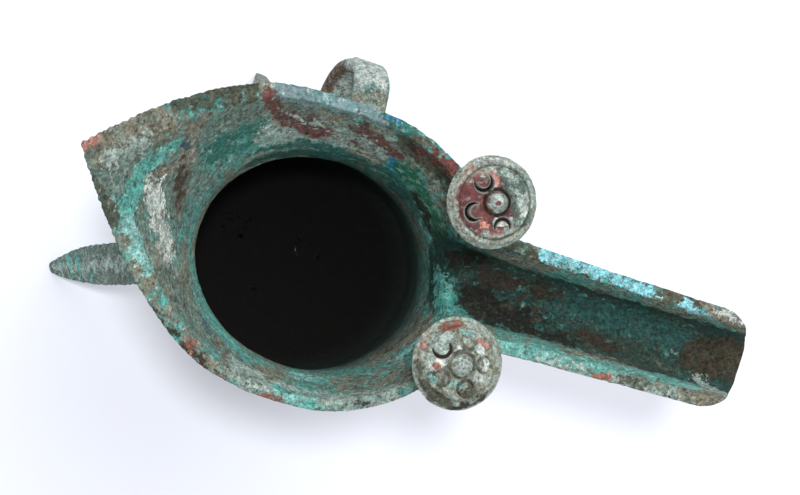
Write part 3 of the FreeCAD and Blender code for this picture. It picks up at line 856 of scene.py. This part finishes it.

# %% [markdown]
# ## Whorled caps
# Each post carries a domed cap with a boss, a groove round it, five curled grooves and a
# ring groove near its edge. The dome is turned from a profile, and one node tree cuts one
# curl: it is run five times with each curl's own place, opening and sweep, because the
# curls on the real cap are cut by hand and no two are alike. The grooves are darkened
# with soil and painted shade, and the lip of a curl is rubbed pale.

# %% Cap profile
CAP_RADIUS, CAP_UNDER_RADIUS, CAP_HEIGHT = 11.8 * MM, 8.4 * MM, 8.6 * MM
CAP_STEP = 0.26 * MM
RING_RADIUS, RING_WIDTH, RING_DEPTH = 9.3 * MM, 1.2 * MM, 0.8 * MM
BOSS_RADIUS, BOSS_TOP_RADIUS, BOSS_GROOVE = 2.8 * MM, 1.2 * MM, 1.05 * MM
BOSS_RISE = 1.4 * MM
# The floor of the boss's groove: two reaches past the boss, and its drop under the dome
GROOVE_NEAR, GROOVE_FAR, GROOVE_DROP = 0.2 * MM, 0.6 * MM, 1.2 * MM
LEDGE, LEDGE_DROP = 0.7 * MM, 0.5 * MM
EDGE_RISE, RING_RISE, DOME_RISE = 0.28 * CAP_HEIGHT, 0.60 * CAP_HEIGHT, 0.84 * CAP_HEIGHT


def dome_height(reach):
    rise = DOME_RISE - RING_RISE
    radius = (RING_RADIUS ** 2 + rise ** 2) / (2 * rise)
    return DOME_RISE - radius + math.sqrt(radius ** 2 - reach ** 2)


def cap_profile():
    """Half of the cap's section from the top of the boss down to its underside."""
    dome_start, dome_end = BOSS_RADIUS + BOSS_GROOVE, RING_RADIUS - RING_WIDTH / 2
    dome = [dome_start + (dome_end - dome_start) * step / 5 for step in range(6)]
    groove_floor = dome_height(BOSS_RADIUS) - GROOVE_DROP
    boss = [(0, CAP_HEIGHT), (BOSS_TOP_RADIUS, CAP_HEIGHT), (BOSS_RADIUS, CAP_HEIGHT - BOSS_RISE),
            (BOSS_RADIUS + GROOVE_NEAR, groove_floor), (BOSS_RADIUS + GROOVE_FAR, groove_floor)]
    band = RING_RADIUS + RING_WIDTH / 2
    ledge = band + LEDGE
    edge = [(RING_RADIUS, dome_height(RING_RADIUS) - RING_DEPTH), (band, dome_height(band)),
            (ledge, dome_height(ledge)), (ledge, dome_height(ledge) - LEDGE_DROP),
            (CAP_RADIUS, EDGE_RISE), (CAP_UNDER_RADIUS, 0), (0, 0)]
    return boss + [(reach, dome_height(reach)) for reach in dome] + edge


def turned(name, profile, centre, sides=96):
    """A closed solid of revolution about an upright axis."""
    shape = bmesh.new()
    rings = []
    for reach, height in profile[1:-1]:
        ring = []
        for side in range(sides):
            angle = 2 * math.pi * side / sides
            spot = Vector((reach * math.cos(angle), reach * math.sin(angle), height))
            ring.append(shape.verts.new(centre + spot))
        rings.append(ring)
    for upper, lower in zip(rings, rings[1:]):
        for side in range(sides):
            after = (side + 1) % sides
            shape.faces.new((upper[side], lower[side], lower[after], upper[after]))
    top = shape.verts.new(centre + Vector((0, 0, profile[0][1])))
    bottom = shape.verts.new(centre + Vector((0, 0, profile[-1][1])))
    for side in range(sides):
        after = (side + 1) % sides
        shape.faces.new((top, rings[0][side], rings[0][after]))
        shape.faces.new((bottom, rings[-1][after], rings[-1][side]))
    bmesh.ops.recalc_face_normals(shape, faces=shape.faces)
    mesh = bpy.data.meshes.new(name)
    shape.to_mesh(mesh)
    shape.free()
    return link_mesh(name, mesh)


# %% Curl tree
CURL_INPUTS = ["Centre X", "Centre Y", "Circle radius", "Place angle", "Curl radius",
               "Open angle", "Sweep", "Groove width", "Groove depth", "Lip width",
               "Lip strength", "Soil and shade"]
ARC_POINTS = 40
# A groove is this share of its width at its two ends, and it widens over this facing
END_SHARE, WIDEN_OVER = 0.35, (-0.5, 0.8)
# Only faces that look up more than this are cut
TOP_FACING = 0.35


def keep_most(tree, geometry, name, value):
    """Stores a number on every point, where it is more than what the point has already."""
    before = wired(tree, "GeometryNodeInputNamedAttribute", {"Name": name}, data_type="FLOAT")
    most = maths(tree, "MAXIMUM", before.outputs["Attribute"], value)
    sources = {"Name": name, "Geometry": geometry, "Value": most}
    store = wired(tree, "GeometryNodeStoreNamedAttribute", sources, data_type="FLOAT",
                  domain="POINT")
    return store.outputs["Geometry"]


def flat_vector(tree, across, along):
    return wired(tree, "ShaderNodeCombineXYZ", {"X": across, "Y": along}).outputs[0]


def polar(tree, angle, reach):
    """A flat place from its angle and its reach."""
    across = maths(tree, "MULTIPLY", maths(tree, "COSINE", angle), reach)
    along = maths(tree, "MULTIPLY", maths(tree, "SINE", angle), reach)
    return flat_vector(tree, across, along)


def curl_line(tree, sizes, spot):
    """The middle line of one groove, an arc round its spot."""
    gap = maths(tree, "SUBTRACT", 2 * math.pi, sizes["Sweep"])
    start = maths(tree, "ADD", sizes["Open angle"], maths(tree, "DIVIDE", gap, 2.0))
    sources = {"Resolution": ARC_POINTS, "Radius": sizes["Curl radius"],
               "Start Angle": start, "Sweep Angle": sizes["Sweep"]}
    arc = wired(tree, "GeometryNodeCurveArc", sources, mode="RADIUS").outputs[0]
    placed = wired(tree, "GeometryNodeTransform", {"Geometry": arc, "Translation": spot})
    return wired(tree, "GeometryNodeCurveToMesh", {0: placed.outputs[0]}).outputs[0]


def groove_shares(tree, sizes):
    """How much of the groove's depth and of its lip a point has, both from 0 to 1."""
    spot = polar(tree, sizes["Place angle"], sizes["Circle radius"])
    centre = flat_vector(tree, sizes["Centre X"], sizes["Centre Y"])
    spot = vector_maths(tree, "ADD", spot, centre)
    position = add_node(tree, "GeometryNodeInputPosition").outputs[0]
    flat = vector_maths(tree, "MULTIPLY", position, (1.0, 1.0, 0.0))
    sources = {0: curl_line(tree, sizes, spot), "Sample Position": flat}
    near = wired(tree, "GeometryNodeProximity", sources, target_element="EDGES")
    distance = near.outputs["Distance"]
    outward = vector_maths(tree, "NORMALIZE", vector_maths(tree, "SUBTRACT", flat, spot))
    facing = vector_maths(tree, "DOT_PRODUCT", outward, polar(tree, sizes["Open angle"], -1.0))
    widened = ease_between(tree, facing, *WIDEN_OVER)
    thick = maths(tree, "MULTIPLY_ADD", widened, 1 - END_SHARE, END_SHARE)
    half = maths(tree, "MULTIPLY", maths(tree, "DIVIDE", sizes["Groove width"], 2.0), thick)
    depth = ease_between(tree, distance, half, maths(tree, "MULTIPLY", half, 0.5))
    lip = ease_between(tree, distance, maths(tree, "ADD", half, sizes["Lip width"]), half)
    lip = maths(tree, "MULTIPLY", lip, maths(tree, "SUBTRACT", 1.0, depth))
    normal = add_node(tree, "GeometryNodeInputNormal").outputs[0]
    upward = wired(tree, "ShaderNodeSeparateXYZ", {0: normal})
    on_top = maths(tree, "GREATER_THAN", upward.outputs["Z"], TOP_FACING)
    return maths(tree, "MULTIPLY", depth, on_top), maths(tree, "MULTIPLY", lip, on_top)


def curl_tree():
    """Cuts one curled groove, widest in its middle, and marks its soil and painted shade and its
    pale lip.
    """
    tree = new_tree("curl", CURL_INPUTS)
    given = add_node(tree, "NodeGroupInput")
    sizes = given.outputs
    depth, lip = groove_shares(tree, sizes)
    soil_and_shade = maths(tree, "MULTIPLY", depth, sizes["Soil and shade"])
    geometry = keep_most(tree, sizes["Geometry"], "depth", soil_and_shade)
    pale = maths(tree, "MULTIPLY", lip, sizes["Lip strength"])
    geometry = keep_most(tree, geometry, "pale", pale)
    sink = maths(tree, "MULTIPLY", depth, sizes["Groove depth"])
    drop = wired(tree, "ShaderNodeCombineXYZ", {"Z": maths(tree, "MULTIPLY", sink, -1.0)})
    move = wired(tree, "GeometryNodeSetPosition", {
        "Geometry": geometry, "Offset": drop.outputs[0]})
    finish_tree(tree, move.outputs[0], given)
    return tree


CURL = curl_tree()

# %% Cap finishes
HANDLE_CAP = middle_of("cap_handle_side")
FAR_CAP = middle_of("cap_far_side")
CAP_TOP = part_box("cap_handle_side")[1].z


def on_cap(centre, angle, reach, drop=None):
    """A place on a cap's dome, in millimetres, from its angle round the boss and its reach."""
    turn = math.radians(angle)
    if drop is None:
        drop = (CAP_HEIGHT - dome_height(reach * MM)) / MM
    spot = centre / MM + Vector((math.cos(turn) * reach, math.sin(turn) * reach, 0))
    return (spot.x, spot.y, CAP_TOP / MM - drop)


def cap_strokes(centre, rows):
    return [(hue, on_cap(centre, *start), on_cap(centre, *end), *rest)
            for hue, start, end, *rest in rows]


# In these rows a place is an angle and a reach, and on the boss also its drop under the top
HANDLE_CAP_STROKES = [
    (ROSE, (0, 0), (205, 3.0), 8.6, 0.8, 0.7),
    (CUPRITE, (215, 4), (255, 6), 1.6, 2.2, 0.6),
    (SALMON, (112, 3.8), (106, 6.8), 1.0, 2.2, 0.6),
    (SALMON, (252, 6.6), (268, 6.2), 0.7, 3.0, 0.6),
    (DULL_GREEN, (350, 8), (85, 8), 3.0, 1.2, 1.5),
    (PALE_GREEN, (350, 8), (85, 8), 1.4, 3.4, 1.5),
    (GREY_WHITE, (2, 7.4), (24, 7.4), 1.8, 1.8, 1.2),
    (GREY_WHITE, (85, 10.6), (130, 10.6), 1.6, 1.8, 1.5),
    (SALMON, (140, 10.6), (152, 10.6), 0.9, 2.8, 1.0),
    (GREY_WHITE, (288, 4.6), (325, 5.6), 1.2, 1.4, 0.8),
    (PALE_GREEN, (0, 0, 0), (0, 0.3, 0), 3.1, 0.8, 1.2),
    (GREY_WHITE, (120, 0.9, 0), (60, 1.2, 0), 0.9, 1.6, 1.2),
    (ROSE, (220, 0.4, 0), (220, 0.9, 0), 0.7, 1.2, 0.8),
]
FAR_CAP_STROKES = [
    (OLIVE, (195, 11), (240, 11), 1.3, 3.0, 1.5),
    (OLIVE, (240, 11), (285, 11), 1.7, 3.0, 1.5),
    (DARK_BROWN, (285, 11), (330, 11), 1.2, 3.2, 1.5),
    (OLIVE, (215, 7.4), (240, 7.4), 1.2, 2.6, 1.5),
    (OLIVE, (300, 7), (312, 6), 1.6, 2.6, 1.5),
    (RUST, (112, 10), (133, 10), 1.2, 3.2, 1.3),
    (SALMON, (168, 11), (182, 11), 1.0, 3.2, 1.2),
    (CHALK, (172, 4.4), (196, 6.8), 1.7, 1.6, 1.0),
    (RUST, (196, 6.8), (204, 6.4), 0.9, 1.8, 1.0),
    (SALMON, (66, 7.5), (52, 8), 0.9, 3.0, 1.2),
    (PALE_GREEN, (157, 7), (140, 8), 2.2, 1.4, 1.2),
    (PALE_TURQUOISE, (105, 8), (88, 8), 0.9, 3.4, 1.2),
    (GREY_WHITE, (115, 4.6), (108, 5), 0.9, 1.6, 1.0),
    (GREY_WHITE, (62, 6), (20, 6.8), 0.9, 1.4, 1.2),
    (GREY_WHITE, (20, 6.8), (335, 6), 0.9, 1.4, 1.2),
    (PALE_TURQUOISE, (258, 5), (285, 5), 0.9, 3.2, 1.2),
    (PALE_TURQUOISE, (228, 7.4), (222, 8), 0.9, 3.2, 1.2),
    (PALE_GREEN, (0, 0, 0), (0, 0.3, 0), 2.7, 0.9, 1.2),
    (GREY_WHITE, (0, 0, 0), (0, 0.3, 0), 1.4, 3.0, 1.2),
]
CAP_GROUND = [(0.08, TEAL_GREEN), (0.24, DULL_GREEN), (0.42, PALE_GREEN), (0.56, GREY_TAN),
              (0.70, PALE_GREEN), (0.90, OLIVE)]
FAR_GROUND = [(0.10, OLIVE), (0.28, GREY_TAN), (0.44, PALE_GREEN), (0.60, GREY_TAN),
              (0.76, DULL_GREEN), (0.92, OLIVE)]
CAP_DUST = [(DARK_BROWN, 1.6, 21.0, 0.075, 0.7), (GREY_WHITE, 1.2, 33.0, 0.07, 0.7),
            (OLIVE, 2.4, 63.0, 0.08, 0.5), (SPOUT_BLACK, 0.7, 57.0, 0.08, 0.6)]
CAP_BEND = 1.4
# Dark brown is the colour of soil and painted shade in the cap grooves
cap_bronze = patina_finish("cap_bronze", CAP_GROUND, cap_strokes(HANDLE_CAP, HANDLE_CAP_STROKES),
                           CAP_DUST, CAP_BEND, DARK_BROWN)
far_cap_bronze = patina_finish("far_cap_bronze", FAR_GROUND, cap_strokes(FAR_CAP, FAR_CAP_STROKES),
                               CAP_DUST, CAP_BEND, DARK_BROWN)

# %% Caps
CAP_RELIEF = {"Swell height": 0.5 * MM, "Swell spacing": 5 * MM,
              "Crust height": 0.5 * MM, "Crust spacing": 1.5 * MM,
              "Pit depth": 0.5 * MM, "Pit spacing": 2.2 * MM, "Seed": 9.0}
# Each row: place angle, circle radius, curl radius, open angle, sweep and strength
HANDLE_CURLS = [(139.6, 6.1, 2.2, 130, 225, 1.0),
                (220.8, 5.8, 2.1, 30, 230, 1.0),
                (303.1, 6.4, 2.0, 288, 200, 0.9),
                (2.8, 6.2, 1.9, 10, 170, 0.3),
                (74.8, 6.2, 1.9, 80, 170, 0.3)]
FAR_CURLS = [(157, 6.4, 2.2, 128, 200, 0.8),
             (232.3, 6.1, 2.0, 232, 230, 0.55),
             (298.5, 6.1, 2.0, 318, 240, 0.6),
             (16.0, 6.1, 2.0, 16, 230, 0.5),
             (88.0, 6.1, 2.0, 88, 230, 0.5)]
CURL_WIDTH, CURL_DEPTH = 1.3 * MM, 1.3 * MM
CURL_LIP = 0.3 * MM
# How strongly the grooves are darkened with soil and painted shade: past 1 they turn black
CURL_SOIL_AND_SHADE, CURL_PALENESS = 2.0, 0.5
HANDLE_CAP_SOIL_AND_SHADE, FAR_CAP_SOIL_AND_SHADE = 1.5, 0.6
GROOVE_SHALLOW = 0.35 * MM


def mark_grooves(cap, centre, soil_and_shade):
    """Soil and painted shade in the boss groove and the ring: a point is darker the deeper it
    lies.
    """
    place = read_vectors(cap.data, "co") - np.array(centre)
    reach = np.minimum(np.linalg.norm(place[:, :2], axis=1), CAP_RADIUS)
    dome = np.array([dome_height(value) for value in reach])
    sunk = np.clip((dome - place[:, 2] - GROOVE_SHALLOW) / GROOVE_SHALLOW, 0, 1)
    on_dome = reach < RING_RADIUS + RING_WIDTH / 2
    store_number(cap.data, "depth", soil_and_shade * sunk * on_dome * (place[:, 2] > EDGE_RISE))


def make_cap(node, curls, finish, soil_and_shade):
    low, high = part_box(node)
    centre = Vector(((low.x + high.x) / 2, (low.y + high.y) / 2, low.z))
    cap = reskin(turned(node + "_bronze", cap_profile(), centre), CAP_STEP, 1)
    mark_grooves(cap, centre, soil_and_shade)
    for angle, circle, radius, open_angle, sweep, share in curls:
        run_tree(cap, CURL, {"Centre X": centre.x, "Centre Y": centre.y,
                             "Circle radius": circle * MM, "Place angle": math.radians(angle),
                             "Curl radius": radius * MM, "Open angle": math.radians(open_angle),
                             "Sweep": math.radians(sweep), "Groove width": CURL_WIDTH,
                             "Groove depth": CURL_DEPTH * share, "Lip width": CURL_LIP,
                             "Lip strength": CURL_PALENESS * share ** 2,
                             "Soil and shade": CURL_SOIL_AND_SHADE * share ** 2, "Finish": finish})
    cap = take_result(cap)
    run_tree(cap, CORROSION, {**CAP_RELIEF, "Finish": finish})
    cap = take_result(cap)
    print(node, "faces:", len(cap.data.polygons))
    return cap


caps = {"cap_handle_side": make_cap("cap_handle_side", HANDLE_CURLS, cap_bronze, HANDLE_CAP_SOIL_AND_SHADE),
        "cap_far_side": make_cap("cap_far_side", FAR_CURLS, far_cap_bronze, FAR_CAP_SOIL_AND_SHADE)}

# %% [markdown]
# ## Core spacers
# Small square plugs held the core in the mould and stayed in the wall. Their tops get the
# bowl's painted black shade, and their undersides show the patina.

# %% Core spacers
PLUG_ROOM = 0.8 * MM
# The painted shade starts this far above the undersides and is full at the second height, in mm
PAINTED_SHADE_STARTS, PAINTED_SHADE_FULL = 0.2, 0.4


def spacer_finish():
    """The bowl's painted black shade on the upper faces, patina on the faces that show from below.
    """
    material = patina_finish("spacer_bronze", BODY_GROUND, [], BODY_DUST)
    tree = material.node_tree
    shader = tree.nodes["Principled BSDF"]
    skin = shader.inputs["Base Color"].links[0].from_socket
    height = wired(tree, "ShaderNodeSeparateXYZ", {0: millimetres(tree)})
    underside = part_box("floor_spacers")[0].z / MM
    # Painted black shade on the plug tops, matching the bowl's painted shade
    black = ease_between(tree, height.outputs["Z"], underside + PAINTED_SHADE_STARTS, underside + PAINTED_SHADE_FULL)
    tree.links.new(mix_colour(tree, black, skin, BOWL_BLACK), shader.inputs["Base Color"])
    return material


def make_spacers():
    """The plugs, pushed outward a little, so that no gap shows round them in the bowl."""
    plugs = weld("floor_spacers_bronze", ["floor_spacers"])
    mesh = plugs.data
    for vert in mesh.vertices:
        side = Vector((vert.normal.x, vert.normal.y, 0))
        vert.co += side.normalized() * PLUG_ROOM * math.sqrt(2)
    mesh.materials.append(spacer_finish())
    return plugs


spacers = make_spacers()

# %% Tie the pieces to the frame
for node, piece in members.items():
    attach(piece, "root")
    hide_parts(node)
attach(spacers, "root")
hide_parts("floor_spacers")
for node, piece in caps.items():
    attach(piece, "root")
    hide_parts(node)

# %% [markdown]
# ## Floor
# The floor is a matt sheet. To the camera it adds a tenth of a plain white, so that it
# looks white and still keeps the cup's soft shadow.

# %% Floor
FLOOR_HALF = 3.0
FLOOR_WHITE = seen(222, 225, 236)
FLOOR_ROUGHNESS = 0.9
GLOW_SHARE = 0.1


def make_floor():
    material, tree, shader = new_finish("white_sheet")
    shader.inputs["Base Color"].default_value = FLOOR_WHITE
    shader.inputs["Roughness"].default_value = FLOOR_ROUGHNESS
    glow = wired(tree, "ShaderNodeEmission", {"Strength": 1.0})
    rays = add_node(tree, "ShaderNodeLightPath")
    shown = maths(tree, "MAXIMUM", rays.outputs["Is Camera Ray"], rays.outputs["Is Glossy Ray"])
    share = wired(tree, "ShaderNodeMixShader", {
        0: maths(tree, "MULTIPLY", shown, GLOW_SHARE), 1: shader.outputs[0],
        2: glow.outputs[0]})
    tree.links.new(share.outputs[0], tree.nodes["Material Output"].inputs[0])
    mesh = bpy.data.meshes.new("floor")
    half = FLOOR_HALF
    corners = [(-half, -half, 0), (half, -half, 0), (half, half, 0), (-half, half, 0)]
    mesh.from_pydata(corners, [], [(0, 1, 2, 3)])
    mesh.materials.append(material)
    return link_mesh("floor", mesh)


floor = make_floor()

# %% [markdown]
# ## Light
# A wide lamp at the picture's upper right gives the soft shading. A small one beside the
# camera adds crisper light, and an even white room fills the shadows.

# %% Light
def soft_lamp(name, place, aim, size, power):
    data = bpy.data.lights.new(name, "AREA")
    data.shape = "DISK"
    data.size = size
    data.energy = power
    lamp = bpy.data.objects.new(name, data)
    place, aim = Vector(place), Vector(aim)
    turn = (aim - place).to_track_quat("-Z", "Y").to_matrix().to_4x4()
    lamp.matrix_world = Matrix.Translation(place) @ turn
    bpy.context.scene.collection.objects.link(lamp)
    return lamp


AIM = (0.0, 0.0, 0.12)
# Each row: name, place and width in metres, and power in watts
LAMPS = [("key", (0.07, 0.63, 1.24), 1.2, 12), ("overhead", (-0.36, 0.07, 1.58), 0.14, 14)]
for name, place, size, power in LAMPS:
    soft_lamp(name, place, AIM, size, power)
ROOM_LIGHT, ROOM_SEEN_EXTRA = 0.6, 0.4


def light_room():
    world = bpy.data.worlds.new("room")
    world.use_nodes = True
    tree = world.node_tree
    background = tree.nodes["Background"]
    rays = add_node(tree, "ShaderNodeLightPath")
    seen_share = rays.outputs["Is Camera Ray"]
    strength = maths(tree, "MULTIPLY_ADD", seen_share, ROOM_SEEN_EXTRA, ROOM_LIGHT)
    background.inputs["Color"].default_value = (1, 1, 1, 1)
    tree.links.new(strength, background.inputs["Strength"])
    bpy.context.scene.world = world


light_room()
bpy.context.scene.view_settings.view_transform = "Standard"
